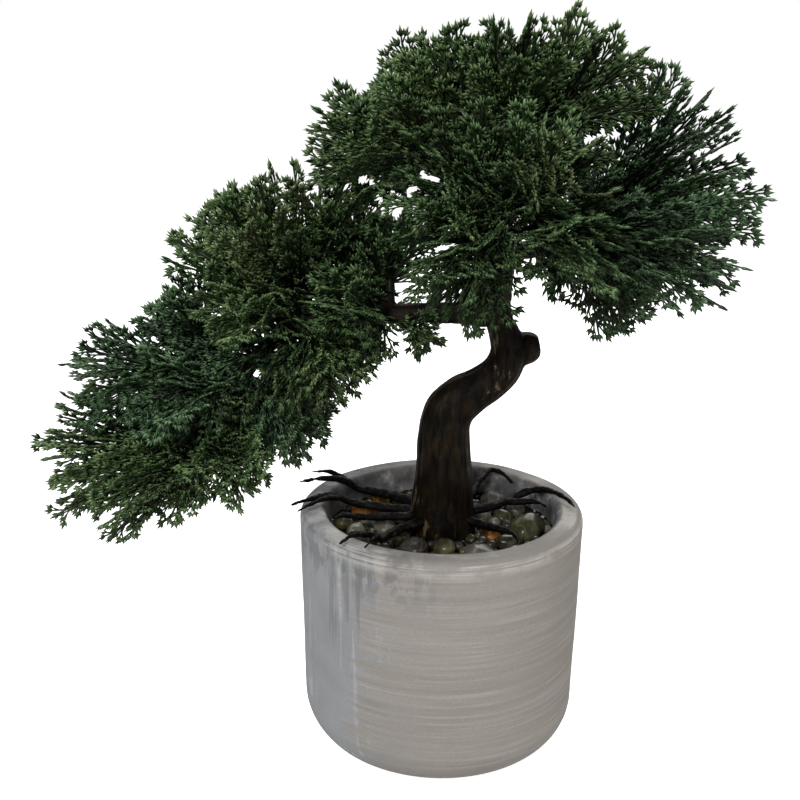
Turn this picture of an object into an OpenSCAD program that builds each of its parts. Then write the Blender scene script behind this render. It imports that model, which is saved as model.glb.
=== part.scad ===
// Tabletop artificial tree: a bent trunk with plug-in boughs and foliage sprays,
// loose roots and pebbles, standing in a round pot. Millimetres, Z up, X to the right of the
// front view, Y to the back. The origin is the middle of the underside of the foot pad.

/* [Pot] */
// Outer diameter of the rim
pot_d = 120; // [116:1:126]
// Height of the pot shell above its foot pad
pot_h = 104; // [102:1:106]
// Wall thickness at the rim
wall = 11; // [10:0.5:11.5]
// Radius of the corner between wall and base
corner_r = 20; // [14:1:24]
// How much narrower the base is than the rim, per side
pot_taper = 1.6; // [0:0.2:3]
// Thickness of the soft foot pad
pad_t = 1.5; // [1:0.5:2]

/* [Filling] */
// Level of the top of the glue bed the pebbles sit on
bed_z = 90; // [88:0.5:90]
// Thickness of the glue bed
bed_t = 6; // [4:0.5:8]
// Spacing of the pebble pattern
pebble_gap = 5.9; // [5.9:0.1:6.6]

/* [Tree] */
// Radius of the rod that pins the trunk in the foam
spike_r = 2; // [1.5:0.25:2.5]
// Radius of the pegs that carry the boughs
peg_r = 2.2; // [1.8:0.1:2.2]
// Radius of the pegs that carry the sprays
twig_peg_r = 1.25; // [1.1:0.05:1.3]
// Running clearance of every peg in its socket
gap = 0.05; // [0.04:0.01:0.08]
// Plate thickness of the moulded foliage
leaf_t = 1.6; // [1.2:0.2:1.8]
// Half the opening angle of a foliage fan
fan_a = 24; // [18:1:24]

/* [Hidden] */
pot_r = pot_d / 2;
rim_z = pad_t + pot_h;
inner_r = pot_r - wall;
floor_z = pad_t + 12;
pad_r = pot_r - pot_taper - corner_r - 1;
foam_top = bed_z - bed_t;
// Foot of the trunk, and the top of it, where the leader swivels
trunk_x = 0.6;
trunk_foot_r = 13;
leader_x = 21;
leader_z = 196;
// Face of the trunk where the left bough swivels
bough_x = 16;
bough_z = 188;
// Heights of the four bough swivels on the leader
right_z = 214;
front_z = 221;
back_z = 227;
upper_z = 234;
// Pegs of the right bough, and of the front, back and upper boughs
right_peg_r = 1.8;
small_peg_r = 1.5;
// Twig from the fork point to its shoulder, the peg that stands out of it, and the spray's socket
twig_l = 8.3;
twig_r = 2.2;
twig_peg_l = 4;
socket_l = 6;
socket_r = 2.3;
socket_depth = 4.3;
fan_from = twig_l + 4.4;
// Angle between one pebble of the spiral pattern and the next
turn = 137.5;

// Trunk centre line, foot to top: [x, y, z, radius]
TRUNK = [[trunk_x, 0, foam_top - 4, trunk_foot_r], [trunk_x, 0, 98, 12.9], [0.7, 0, 106, 12],
         [0.7, 0, 118, 11.3], [0.6, 0, 129, 10.7], [0.5, 0, 137, 10.1], [1, 0, 143, 9.9],
         [3.4, 0, 148.8, 9.7], [8.2, 0, 153.4, 9], [13.2, 0, 156.6, 8.3], [18.2, 0, 160, 8.1],
         [22.6, 0, 164, 7.9], [25.4, 0, 169, 7.9], [25.8, 0, 174.5, 7.4], [24, 0, 180, 6.5],
         [22, 0, 185, 5.8], [leader_x, 0, 190.5, 5.4], [leader_x, 0, 199, 5.2]];
// Stub of a cut branch on the outside of the upper bend
KNOB = [[26, 0, 172.6, 7], [31, 0, 173.6, 7], [34.5, 0, 174.4, 6.8], [37, 0, 174.9, 5.9],
        [38.9, 0, 175.3, 4.2]];
LEADER = [[leader_x, 0, leader_z - 5, 5.2], [22, 0, 203, 5.1], [22.8, 0, 209, 5], [22.8, 0, right_z, 4.9],
          [22, 0, 222, 4.6], [21, 0, 230, 4.2], [20.3, 0, 238, 3.8], [20, 0, 245, 3.3], [20, 0, 249, 2.2]];
LEFT_BOUGH = [[bough_x - 0.7, 0, bough_z, 4.6], [-2, 0, 188.6, 4.4], [-22, 0, 188, 4.2], [-42, 0, 186.6, 3.8],
              [-59, 0, 182.5, 3.6], [-74, 0, 172.5, 3.3], [-84, 0, 158, 3.1], [-89, 0, 141, 2.9],
              [-90, 0, 128, 2.7], [-90.4, 0, 124.5, 1.6]];
RIGHT_BOUGH = [[28.2, 0, right_z, 3.6], [34, 0, 214.4, 3.4], [41, 0, 216.4, 3], [44, 0, 217, 2.8],
               [47.5, 0, 217.6, 1.6]];
FRONT_BOUGH = [[22, -5.1, front_z, 3], [21.4, -12, 222, 2.9], [20.4, -21, 224.4, 2.7], [20, -24, 225, 2.6],
               [19.8, -27, 225.6, 1.5]];
BACK_BOUGH = [[21.4, 4.9, back_z, 3], [21.3, 12, 228, 2.9], [21, 21, 229.6, 2.7], [21, 24, 230, 2.6],
              [21, 27, 230.6, 1.5]];
UPPER_BOUGH = [[15.5, 0, upper_z, 2.8], [12, 0, 235.6, 2.7], [6.5, 0, 240.8, 2.5], [4, 0, 243, 2.4],
               [1.8, 0, 244.8, 1.5]];

// Where the sprays plug in
P_RIGHT = [44, 0, 217];
P_FRONT = [20, -24, 225];
P_BACK = [21, 24, 230];
P_UPPER = [4, 0, 243];
P_TOP = [20, 0, 246];
P_NEAR = [-22, 0, 188];
P_MID = [-59, 0, 182.5];
P_FAR = [-84, 0, 158];
P_END = [-90, 0, 128];

// Sprays of each limb: [turn from +X towards +Y, rise, length, roll about its own line]
S_RIGHT = [[0, 4, 80, 10], [-42, 8, 74, -20], [42, 6, 72, 25], [2, 35, 90, -40], [-8, -32, 56, 60],
           [-95, -12, 34, 70]];
S_FRONT = [[-118, 2, 62, 15], [-56, 8, 62, -25], [-66, 46, 62, 40], [-128, 38, 62, -35],
           [-128, -44, 50, 30]];
S_BACK = [[118, 4, 60, -20], [58, 8, 62, 20], [64, 46, 62, -45], [128, 38, 60, 30]];
S_UPPER = [[180, 17, 76, 5], [-142, 30, 60, 45], [141, 27, 60, -40]];
S_TOP = [[180, 47, 66, 70], [-80, 70, 62, 20], [0, 44, 76, 80], [100, 66, 58, -20]];
S_NEAR = [[172, 56, 60, 60], [-124, 18, 48, -15], [120, 24, 48, 20], [100, 76, 46, 0],
          [-46, -17, 30, 10]];
S_MID = [[180, 54, 74, 80], [-124, 24, 56, -25], [124, 26, 56, 25], [-14, -20, 44, 10],
         [-100, 76, 67, 46], [-75, -35, 44, 30]];
S_FAR = [[180, 6, 74, 10], [180, 50, 60, 75], [-130, 10, 58, -20], [130, 12, 58, 20], [-25, -22, 44, 60],
         [30, -20, 44, -60], [-165, -28, 44, 80]];
S_END = [[180, 2, 82, 5], [-146, -8, 66, 25], [146, -4, 64, -25], [186, -38, 34, 80], [-82, 6, 44, -20],
         [86, 9, 44, 20]];

// Roots: each starts at the trunk at an angle and runs on through [x, y, z, radius]
ROOT_A = [[-24, 22, 101.4, 2.2], [-35, 24, 102.6, 1.9], [-43, 21.5, 108, 1.7], [-52, 16, 110.6, 1.3],
          [-61, 8, 112, 0.5]];
ROOT_A2 = [[-39, 23.5, 105, 1.6], [-45, 23.5, 109.5, 1.4], [-50, 20.5, 112.4, 1.1], [-57, 15, 114, 0.5]];
ROOT_B = [[-28, 8, 101, 2.1], [-39, 8, 103, 1.8], [-47, 4, 107.6, 1.5], [-55, -3, 108.6, 1.2],
          [-63, -8, 107.8, 0.5]];
ROOT_B2 = [[-43, 6, 105.4, 1.5], [-49, -2, 108.6, 1.3], [-54, -9, 109, 1], [-60, -15, 107.6, 0.5]];
ROOT_C = [[-26, -4, 101, 1.9], [-36, -6, 102, 1.6], [-42, -9, 103.4, 1.1], [-46, -13, 103.6, 0.5]];
ROOT_D = [[-18, -18, 101.2, 2.1], [-25, -27, 101.8, 1.9], [-31, -34, 106, 1.5], [-36, -40, 108.2, 1.1],
          [-41, -46, 107, 0.5]];
ROOT_D2 = [[-22, -23, 101.4, 1.7], [-24.5, -33, 103.4, 1.4], [-27, -41, 108, 1.1], [-31, -50, 107.2, 0.5]];
ROOT_E = [[14, 20, 103, 1.9], [19, 31, 106, 1.7], [24, 38, 107.4, 1.4], [29, 37.5, 106, 1],
          [33, 34, 103, 0.5]];
ROOT_F = [[23, 9, 101.4, 2.1], [32, 16, 102.4, 1.9], [40, 16, 106, 1.6], [47, 11, 108, 1.4],
          [53, 3, 107.8, 1], [56, -6, 107, 0.5]];
ROOT_F2 = [[27, 12.5, 101.8, 1.8], [36, 13, 102, 1.6], [42, 9.5, 103, 1.1], [45, 4, 103.4, 0.5]];
ROOT_G = [[19, -13, 101.2, 1.9], [26, -19, 101.8, 1.5], [30, -25, 101.4, 1], [30, -32, 100, 0.5]];

// Larger stones placed by hand: [x, y, radius, half height, colour group]
STONES = [[36.6, -1.5, 7.8, 5.4, 1], [15, -27, 6.6, 3.9, 2], [-34.5, -15, 6.2, 3.9, 0],
          [-27, 34, 4.8, 3.9, 3], [-12, -21, 6, 3.9, 0], [1, -20, 4.6, 3.8, 1], [-6, -34, 5, 3.8, 3],
          [24.5, 33.5, 5.6, 3.9, 2]];
// The part of the spiral pebble pattern that falls between the trunk and the wall
first_pebble = 10;
last_pebble = 56;

root_tint = [0.13, 0.1, 0.08];
trunk_tint = [0.16, 0.12, 0.09];
leader_tint = [0.24, 0.19, 0.13];
bough_tint = [0.17, 0.12, 0.08];
leaf_tint = [0.2, 0.32, 0.22];

// ---- helpers ----

function unit(v) = v / norm(v);
function xyz(p) = [p[0], p[1], p[2]];
function wobble(k) = let (s = sin(k * 78.233) * 437.585) s - floor(s);

// A point on the smooth curve through a list of points, u from 0 to 1
function along(pts, u) =
  let (last = len(pts) - 1, s = min(max(u, 0), 1) * last, i = min(floor(s), last - 1), t = s - i,
       a = pts[max(i - 1, 0)], b = pts[i], c = pts[i + 1], d = pts[min(i + 2, last)])
  0.5 * (2 * b + (c - a) * t + (2 * a - 5 * b + 4 * c - d) * t * t + (3 * b - a - 3 * c + d) * t * t * t);

// A circle of n points square to the direction t
function ring(c, r, t, side, n) =
  let (u = unit(cross(t, side)), v = cross(u, t))
  [for (k = [0:n - 1]) c + r * (cos(360 * k / n) * u + sin(360 * k / n) * v)];

// A round stem along a curve; its rings stay square to the curve
module stem(pts, m, n, side) {
  at = [for (i = [0:m]) along(pts, i / m)];
  mid = [for (p = at) xyz(p)];
  dir = [for (i = [0:m]) unit(mid[min(i + 1, m)] - mid[max(i - 1, 0)])];
  skin = [for (i = [0:m]) each ring(mid[i], at[i][3], dir[i], side, n)];
  quads = [for (i = [0:m - 1], k = [0:n - 1])
             let (a = i * n + k, b = i * n + (k + 1) % n) each [[a, b, b + n], [a, b + n, a + n]]];
  foot = [for (k = [0:n - 1]) n - 1 - k];
  head = [for (k = [0:n - 1]) m * n + k];
  polyhedron(skin, concat(quads, [foot, head]), convexity = 8);
}

// Puts +X of the children at p, turned az from +X towards +Y and raised by el
module toward(p, az, el) {
  translate(p) rotate([0, -el, az]) children();
}

// The forked twigs and pegs at one point of a limb, one per spray
module pegs(p, sprays) {
  for (s = sprays) toward(p, s[0], s[1]) rotate([0, 90, 0]) {
    cylinder(h = twig_l, r1 = twig_r, r2 = 1.8, $fn = 16);
    cylinder(h = twig_l + twig_peg_l, r = twig_peg_r, $fn = 24);
  }
}

function polar(r, q) = r * [cos(q), sin(q)];

// Tip of frond i of a fan: the outer fronds are shorter, and every other one a little more
function frond(l, i, n) = l * (1 - 0.24 * pow(2 * i / (n - 1) - 1, 2)) * (0.95 + 0.05 * cos(180 * i));

// Outline of a fan of n narrow fronds, a to each side, from its neck at the origin out along +X
function fan(l, a, n) =
  let (d = 2 * a / (n - 1), neck = 0.9)
  concat([[0, -neck]],
         [for (i = [0:n - 1])
           let (q = d * i - a, tip = frond(l, i, n))
           each concat([polar(0.88 * tip, q - 0.34 * d), polar(tip, q), polar(0.88 * tip, q + 0.34 * d)],
                       i < n - 1 ? [polar(0.45 * tip, q + d / 2)] : [])],
         [[0, neck]]);

// One moulded spray: a socket, a broad fan and a narrower one crossing it
module spray(p, s) {
  color(leaf_tint)
  toward(p, s[0], s[1]) rotate([s[3], 0, 0]) difference() {
    union() {
      translate([twig_l + gap, 0, 0]) rotate([0, 90, 0]) cylinder(h = socket_l, r = socket_r, $fn = 24);
      translate([fan_from, 0, -leaf_t / 2]) linear_extrude(leaf_t)
        polygon(fan(s[2] - fan_from, fan_a, 9));
      rotate([90, 0, 0]) translate([fan_from, 0, -leaf_t / 2]) linear_extrude(leaf_t)
        polygon(fan(0.86 * s[2] - fan_from, 0.7 * fan_a, 5));
    }
    translate([twig_l - 1, 0, 0]) rotate([0, 90, 0])
      cylinder(h = socket_depth + 1, r = twig_peg_r + gap, $fn = 24);
  }
}

// The sprays of a limb from one number on, which fill in between its first ones and share a node
module infill(p, sprays, from) {
  for (i = [from : len(sprays) - 1]) spray(p, sprays[i]);
}

// ---- pot and filling ----

// Points of an arc of a section, from one angle to another
function arc(cx, cz, r, from, to, n) =
  [for (i = [0:n]) [cx, cz] + polar(r, from + (to - from) * i / n)];

module turned(section) {
  rotate_extrude($fn = 96) polygon(section);
}

module foot_pad() {
  color([0.12, 0.12, 0.12]) cylinder(h = pad_t, r = pad_r, $fn = 72);
}

// The shell: rounded foot, tapered side, rounded rim and a round-cornered hollow
module pot() {
  base_r = pot_r - pot_taper;
  color([0.6, 0.59, 0.57])
  turned(concat([[0, pad_t]],
                arc(base_r - corner_r, pad_t + corner_r, corner_r, -90, 0, 8),
                arc(pot_r - 4, rim_z - 4, 4, 0, 90, 4),
                arc(inner_r + 3, rim_z - 3, 3, 90, 180, 4),
                arc(inner_r - 10, floor_z + 10, 10, 0, -90, 5),
                [[0, floor_z]]));
}

module foam_core() {
  r = inner_r - 0.3;
  color([0.25, 0.35, 0.22]) difference() {
    turned([[0, floor_z + 0.1], [r - 11, floor_z + 0.1], [r, floor_z + 11], [r, foam_top], [0, foam_top]]);
    translate([trunk_x, 0, foam_top - 40]) cylinder(h = 50, r = spike_r + gap, $fn = 32);
  }
}

module glue_bed() {
  color([0.07, 0.06, 0.05]) difference() {
    translate([0, 0, foam_top + 0.05]) cylinder(h = bed_t - 0.05, r = inner_r - 0.1, $fn = 96);
    translate([trunk_x, 0, foam_top - 1]) cylinder(h = bed_t + 2, r = trunk_foot_r + 0.1, $fn = 64);
  }
}

// One pebble: a flattened round stone, tipped a little, resting on the bed
module pebble(x, y, a, b, tip, az) {
  lift = sqrt(pow(a * sin(tip), 2) + pow(b * cos(tip), 2)) + 0.02;
  translate([x, y, bed_z + lift]) rotate([0, tip, az]) rotate_extrude($fn = 20)
    polygon([for (i = [0:6]) let (q = -90 + 30 * i) [max(0, a * cos(q)), b * sin(q)]]);
}

// The stones of one colour: a spiral pattern that leaves room for the trunk and the placed stones
module pebbles(group, tint) {
  color(tint) {
    for (i = [0:len(STONES) - 1]) if (STONES[i][4] == group)
      pebble(STONES[i][0], STONES[i][1], STONES[i][2], STONES[i][3], 4, 40 * i);
    for (k = [first_pebble:last_pebble]) {
      a = 4.1 + 0.65 * wobble(k);
      r = pebble_gap * sqrt(k);
      x = r * cos(k * turn);
      y = r * sin(k * turn);
      mine = floor(wobble(k + 300) * 2.2 + 1.8 * wobble(k + 90)) == group;
      off_stones = min([for (s = STONES) norm([x - s[0], y - s[1]]) - s[2]]) > a + 0.1;
      off_wall = r + a < inner_r - 0.2;
      off_trunk = norm([x - trunk_x, y]) > a + trunk_foot_r + 0.2;
      if (mine && off_stones && off_wall && off_trunk)
        pebble(x, y, a, 2.9 + 0.8 * wobble(k + 50), 10 * wobble(k + 20), 360 * wobble(k + 70));
    }
  }
}

// ---- roots ----

// A root from the trunk's foot, leaving it at an angle and a height, with forks that leave it later
module root(az, from_z, r, path, forks = []) {
  start = [trunk_x + 13.1 * cos(az), 13.1 * sin(az), from_z, r];
  color(root_tint) union() {
    stem(concat([start], path), 18, 8, [0, 0, 1]);
    for (f = forks) stem(f, 10, 7, [0, 0, 1]);
  }
}

module root_a() { root(137, 101.6, 2.6, ROOT_A, [ROOT_A2]); }
module root_b() { root(165, 101.4, 2.4, ROOT_B, [ROOT_B2]); }
module root_c() { root(193, 101.4, 2.1, ROOT_C); }
module root_d() { root(226, 101.6, 2.4, ROOT_D, [ROOT_D2]); }
module root_e() { root(56, 102, 2, ROOT_E); }
module root_f() { root(16, 101.4, 2.4, ROOT_F, [ROOT_F2]); }
module root_g() { root(324, 101.4, 2.1, ROOT_G); }

// ---- trunk and limbs ----

// The trunk with its cut-branch stub, the peg for the leader, and bores for the left bough and the rod
module trunk() {
  color(trunk_tint) difference() {
    union() {
      difference() {
        union() {
          stem(TRUNK, 51, 20, [0, 1, 0]);
          stem(KNOB, 8, 14, [0, 1, 0]);
        }
        translate([0, -30, leader_z]) cube([60, 60, 20]);
        translate([-30, -30, foam_top - 20]) cube([60, 60, 20.05]);
      }
      translate([leader_x, 0, leader_z - 1]) cylinder(h = 9, r = peg_r, $fn = 32);
    }
    translate([bough_x - 4, 0, bough_z]) rotate([0, 90, 0]) cylinder(h = 13.2, r = peg_r + gap, $fn = 32);
    translate([trunk_x, 0, foam_top - 1]) cylinder(h = 21, r = spike_r + gap, $fn = 32);
  }
}

module trunk_rod() {
  color([0.6, 0.6, 0.62]) translate([trunk_x, 0, foam_top - 39.8]) cylinder(h = 59.5, r = spike_r, $fn = 32);
}

// The upper stem: swivels on the trunk and carries four boughs and the top sprays
module leader() {
  color(leader_tint) difference() {
    union() {
      difference() {
        stem(LEADER, 28, 16, [0, 1, 0]);
        translate([0, -30, leader_z - 20]) cube([60, 60, 20.1]);
      }
      pegs(P_TOP, S_TOP);
    }
    translate([leader_x, 0, leader_z - 1]) cylinder(h = 9.4, r = peg_r + gap, $fn = 32);
    translate([23, 0, right_z]) rotate([0, 90, 0]) cylinder(h = 10, r = right_peg_r + gap, $fn = 32);
    translate([22, 0, front_z]) rotate([90, 0, 0]) cylinder(h = 10, r = small_peg_r + gap, $fn = 32);
    translate([21.4, 0, back_z]) rotate([-90, 0, 0]) cylinder(h = 10, r = small_peg_r + gap, $fn = 32);
    translate([21, 0, upper_z]) rotate([0, -90, 0]) cylinder(h = 10, r = small_peg_r + gap, $fn = 32);
  }
}

module left_bough() {
  color(bough_tint) union() {
    stem(LEFT_BOUGH, 36, 14, [0, 1, 0]);
    translate([bough_x - 1, 0, bough_z]) rotate([0, 90, 0]) cylinder(h = 10, r = peg_r, $fn = 32);
    pegs(P_NEAR, S_NEAR);
    pegs(P_MID, S_MID);
    pegs(P_FAR, S_FAR);
    pegs(P_END, S_END);
  }
}

// A short bough: its stem, the peg it swivels on, and its twigs
module limb(path, base, peg_az, r, p, sprays) {
  color(bough_tint) union() {
    stem(path, 12, 12, peg_az == 90 || peg_az == -90 ? [1, 0, 0] : [0, 1, 0]);
    translate(base) rotate([0, 0, peg_az]) rotate([0, 90, 0]) cylinder(h = 5, r = r, $fn = 32);
    pegs(p, sprays);
  }
}

module right_bough() { limb(RIGHT_BOUGH, [23.8, 0, right_z], 0, right_peg_r, P_RIGHT, S_RIGHT); }
module front_bough() { limb(FRONT_BOUGH, [22, -0.9, front_z], -90, small_peg_r, P_FRONT, S_FRONT); }
module back_bough() { limb(BACK_BOUGH, [21.4, 0.9, back_z], 90, small_peg_r, P_BACK, S_BACK); }
module upper_bough() { limb(UPPER_BOUGH, [20.2, 0, upper_z], 180, small_peg_r, P_UPPER, S_UPPER); }

// ---- the parts ----

foot_pad();
pot();
foam_core();
glue_bed();
pebbles(0, [0.33, 0.33, 0.32]);  // pebbles_grey
pebbles(1, [0.36, 0.34, 0.26]);  // pebbles_olive
pebbles(2, [0.7, 0.68, 0.62]);  // pebbles_pale
pebbles(3, [0.6, 0.36, 0.14]);  // pebbles_amber
root_a();
root_b();
root_c();
root_d();
root_e();
root_f();
root_g();
trunk();
trunk_rod();
leader();
left_bough();
right_bough();
front_bough();
back_bough();
upper_bough();
spray(P_RIGHT, S_RIGHT[0]);  // spray_right_1
spray(P_RIGHT, S_RIGHT[1]);  // spray_right_2
spray(P_RIGHT, S_RIGHT[2]);  // spray_right_3
infill(P_RIGHT, S_RIGHT, 3);  // infill_right
spray(P_FRONT, S_FRONT[0]);  // spray_front_1
spray(P_FRONT, S_FRONT[1]);  // spray_front_2
spray(P_FRONT, S_FRONT[2]);  // spray_front_3
infill(P_FRONT, S_FRONT, 3);  // infill_front
spray(P_BACK, S_BACK[0]);  // spray_back_1
spray(P_BACK, S_BACK[1]);  // spray_back_2
spray(P_BACK, S_BACK[2]);  // spray_back_3
spray(P_BACK, S_BACK[3]);  // spray_back_4
spray(P_UPPER, S_UPPER[0]);  // spray_upper_1
spray(P_UPPER, S_UPPER[1]);  // spray_upper_2
spray(P_UPPER, S_UPPER[2]);  // spray_upper_3
spray(P_TOP, S_TOP[0]);  // spray_top_1
spray(P_TOP, S_TOP[1]);  // spray_top_2
spray(P_TOP, S_TOP[2]);  // spray_top_3
spray(P_TOP, S_TOP[3]);  // spray_top_4
spray(P_NEAR, S_NEAR[0]);  // spray_near_1
spray(P_NEAR, S_NEAR[1]);  // spray_near_2
spray(P_NEAR, S_NEAR[2]);  // spray_near_3
infill(P_NEAR, S_NEAR, 3);  // infill_near
spray(P_MID, S_MID[0]);  // spray_mid_1
spray(P_MID, S_MID[1]);  // spray_mid_2
spray(P_MID, S_MID[2]);  // spray_mid_3
infill(P_MID, S_MID, 3);  // infill_mid
spray(P_FAR, S_FAR[0]);  // spray_far_1
spray(P_FAR, S_FAR[1]);  // spray_far_2
spray(P_FAR, S_FAR[2]);  // spray_far_3
spray(P_FAR, S_FAR[3]);  // spray_far_4
infill(P_FAR, S_FAR, 4);  // infill_far
spray(P_END, S_END[0]);  // spray_end_1
spray(P_END, S_END[1]);  // spray_end_2
spray(P_END, S_END[2]);  // spray_end_3
spray(P_END, S_END[3]);  // spray_end_4
infill(P_END, S_END, 4);  // infill_end
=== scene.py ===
"""The looks of the tabletop artificial tree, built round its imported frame.

Lengths are in metres and in the frame's own axes: Z up, X to the right of the front view, Y to the back.
Lengths in millimetres are marked as such, or written as a number times MM.
"""

import math
import random

import bmesh
import bpy
import numpy as np
from mathutils import Matrix, Vector, noise


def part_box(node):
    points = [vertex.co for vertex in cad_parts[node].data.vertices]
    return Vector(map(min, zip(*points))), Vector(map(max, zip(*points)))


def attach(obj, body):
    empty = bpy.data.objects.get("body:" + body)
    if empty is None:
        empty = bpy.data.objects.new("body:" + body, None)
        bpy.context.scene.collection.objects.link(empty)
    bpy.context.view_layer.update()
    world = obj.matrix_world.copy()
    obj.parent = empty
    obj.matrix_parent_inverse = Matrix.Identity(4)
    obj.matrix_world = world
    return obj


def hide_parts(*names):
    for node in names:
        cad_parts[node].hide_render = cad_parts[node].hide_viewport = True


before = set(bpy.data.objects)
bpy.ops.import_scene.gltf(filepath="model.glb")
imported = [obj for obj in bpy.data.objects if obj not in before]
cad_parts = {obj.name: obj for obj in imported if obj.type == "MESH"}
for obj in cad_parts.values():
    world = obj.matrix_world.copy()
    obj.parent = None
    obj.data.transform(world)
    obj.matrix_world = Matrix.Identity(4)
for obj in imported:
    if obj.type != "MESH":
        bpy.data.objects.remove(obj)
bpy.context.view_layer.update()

MM = 0.001
FULL_TURN = 2 * math.pi
GOLDEN_TURN = math.radians(137.5)

# ---- the design ----

# Each limb's fork point and its sprays: (turn from +X towards +Y, rise, length of the foliage, roll), in
# degrees and mm. All but the lengths are as in the CAD; the lengths follow the foliage's own outline.
FORKS = {
    "right": ((44, 0, 217), [(0, 4, 77, 10), (-42, 8, 74, -20), (42, 6, 72, 25), (2, 35, 89, -40),
                             (-8, -32, 48, 60), (-95, -12, 32, 70)]),
    "front": ((20, -24, 225), [(-118, 2, 62, 15), (-56, 8, 62, -25), (-66, 46, 62, 40),
                               (-128, 38, 62, -35), (-128, -44, 43, 30)]),
    "back": ((21, 24, 230), [(118, 4, 60, -20), (58, 8, 62, 20), (64, 46, 62, -45), (128, 38, 60, 30)]),
    "upper": ((4, 0, 243), [(180, 17, 67, 5), (-142, 30, 60, 45), (141, 27, 60, -40)]),
    "top": ((20, 0, 246), [(180, 47, 69, 70), (-80, 70, 64, 20), (0, 44, 75, 80), (100, 66, 59, -20)]),
    "near": ((-22, 0, 188), [(172, 56, 60, 60), (-124, 18, 48, -15), (120, 24, 48, 20), (100, 76, 46, 0),
                             (-46, -17, 24, 10)]),
    "mid": ((-59, 0, 182.5), [(180, 54, 69, 80), (-124, 24, 56, -25), (124, 26, 56, 25),
                              (-14, -20, 38, 10), (-100, 76, 71, 46), (-75, -35, 41, 30)]),
    "far": ((-84, 0, 158), [(180, 6, 74, 10), (180, 50, 56, 75), (-130, 10, 58, -20), (130, 12, 58, 20),
                            (-25, -22, 44, 60), (30, -20, 44, -60), (-165, -28, 44, 80)]),
    "end": ((-90, 0, 128), [(180, 2, 82, 5), (-146, -8, 66, 25), (146, -4, 64, -25), (186, -38, 30, 80),
                            (-82, 6, 40, -20), (86, 9, 40, 20)]),
}
# How many of a limb's sprays have a CAD node each; the ones after them share the limb's infill node
OWN_NODE = {limb: sum(node.startswith(f"spray_{limb}_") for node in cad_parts) for limb in FORKS}
# The forks of the left bough, trunk side first, and how many sprigs hide the bough between two of them
BOUGH_FORKS = ["near", "mid", "far", "end"]
SPRIGS = 12
# The body each limb's sprays ride on
BODY = {limb: "left_bough" if limb in BOUGH_FORKS else f"{limb}_bough" for limb in FORKS}
BODY["top"] = "crown"
# The trunk's centre line in the XZ plane, foot to top, in mm
TRUNK_LINE = [(0.6, 84), (0.6, 98), (0.7, 106), (0.7, 118), (0.6, 129), (0.5, 137), (1, 143), (3.4, 148.8),
              (8.2, 153.4), (13.2, 156.6), (18.2, 160), (22.6, 164), (25.4, 169), (25.8, 174.5), (24, 180),
              (22, 185), (21, 190.5), (21, 199)]
# Where the trunk's first bend starts and ends, in height
BEND_START = 143 * MM
BEND_END = 168 * MM
# The cup of a spray, which sits on its twig's peg: its start, measured out from the fork point, and its size
SOCKET_FROM = 8.35 * MM
SOCKET_LENGTH = 6 * MM
SOCKET_RADIUS = 2.3 * MM

# ---- mesh helpers ----

TWIG_SIDES = 4


def link(name, data):
    """A new object in the scene that shows a mesh, a light or a camera."""
    obj = bpy.data.objects.new(name, data)
    bpy.context.scene.collection.objects.link(obj)
    return obj


def make_piece(name, verts, faces, body, node, tones=None):
    """A smooth mesh object that rides on a body and stands for a CAD node."""
    mesh = bpy.data.meshes.new(name)
    mesh.from_pydata(verts.tolist(), [], faces)
    mesh.validate()
    mesh.update()
    mesh.shade_smooth()
    if tones is not None:
        layer = mesh.attributes.new("tone", "FLOAT", "POINT")
        layer.data.foreach_set("value", np.asarray(tones, dtype=np.float32))
    obj = link(name, mesh)
    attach(obj, body)
    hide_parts(node)
    return obj


def unit(v):
    """Each vector of v, at length one."""
    return v / np.maximum(np.linalg.norm(v, axis=-1, keepdims=True), 1e-12)


def across(d):
    """A unit vector square to each direction in d."""
    ref = np.where(np.abs(d[..., 2:3]) > 0.8, np.array([1.0, 0.0, 0.0]), np.array([0.0, 0.0, 1.0]))
    return unit(np.cross(d, ref))


def rotated(v, axis, angle):
    """Vector v turned about a unit axis."""
    c, s = math.cos(angle), math.sin(angle)
    return v * c + np.cross(axis, v) * s + axis * np.dot(axis, v) * (1 - c)


def joined(shapes):
    """Several shapes, each with its vertices and faces, as one."""
    faces, count = [], 0
    for verts, own_faces in shapes:
        faces += [tuple(i + count for i in face) for face in own_faces]
        count += len(verts)
    return np.concatenate([verts for verts, _ in shapes]), faces


def prisms(start, end, r0, r1):
    """One tapered prism for each start and end point: verts (n, 2 * TWIG_SIDES, 3), and the faces of one."""
    d = unit(end - start)
    u = across(d)
    v = np.cross(d, u)
    turn = np.arange(TWIG_SIDES) * FULL_TURN / TWIG_SIDES
    ring = u[:, None] * np.cos(turn)[None, :, None] + v[:, None] * np.sin(turn)[None, :, None]
    verts = np.concatenate([start[:, None] + ring * r0[:, None, None],
                            end[:, None] + ring * r1[:, None, None]], axis=1)
    k = np.arange(TWIG_SIDES)
    after = (k + 1) % TWIG_SIDES
    return verts, np.stack([k, after, after + TWIG_SIDES, k + TWIG_SIDES], axis=1)


def tube(points, radii, sides):
    """One round tube through the points, closed at both ends: verts and faces."""
    points = np.asarray(points, float)
    count = len(points)
    d = unit(np.gradient(points, axis=0))
    side = across(d[:1])[0]
    rings = []
    turn = np.arange(sides) * FULL_TURN / sides
    for i in range(count):
        side = side - d[i] * np.dot(side, d[i])
        side = side / np.linalg.norm(side)
        other = np.cross(d[i], side)
        rings.append(points[i] + radii[i] * (np.cos(turn)[:, None] * side + np.sin(turn)[:, None] * other))
    faces = []
    for i in range(count - 1):
        for k in range(sides):
            a, b = i * sides + k, i * sides + (k + 1) % sides
            faces.append((a, b, b + sides, a + sides))
    faces.append(tuple(reversed(range(sides))))
    faces.append(tuple(range((count - 1) * sides, count * sides)))
    return np.concatenate(rings), faces


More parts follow.
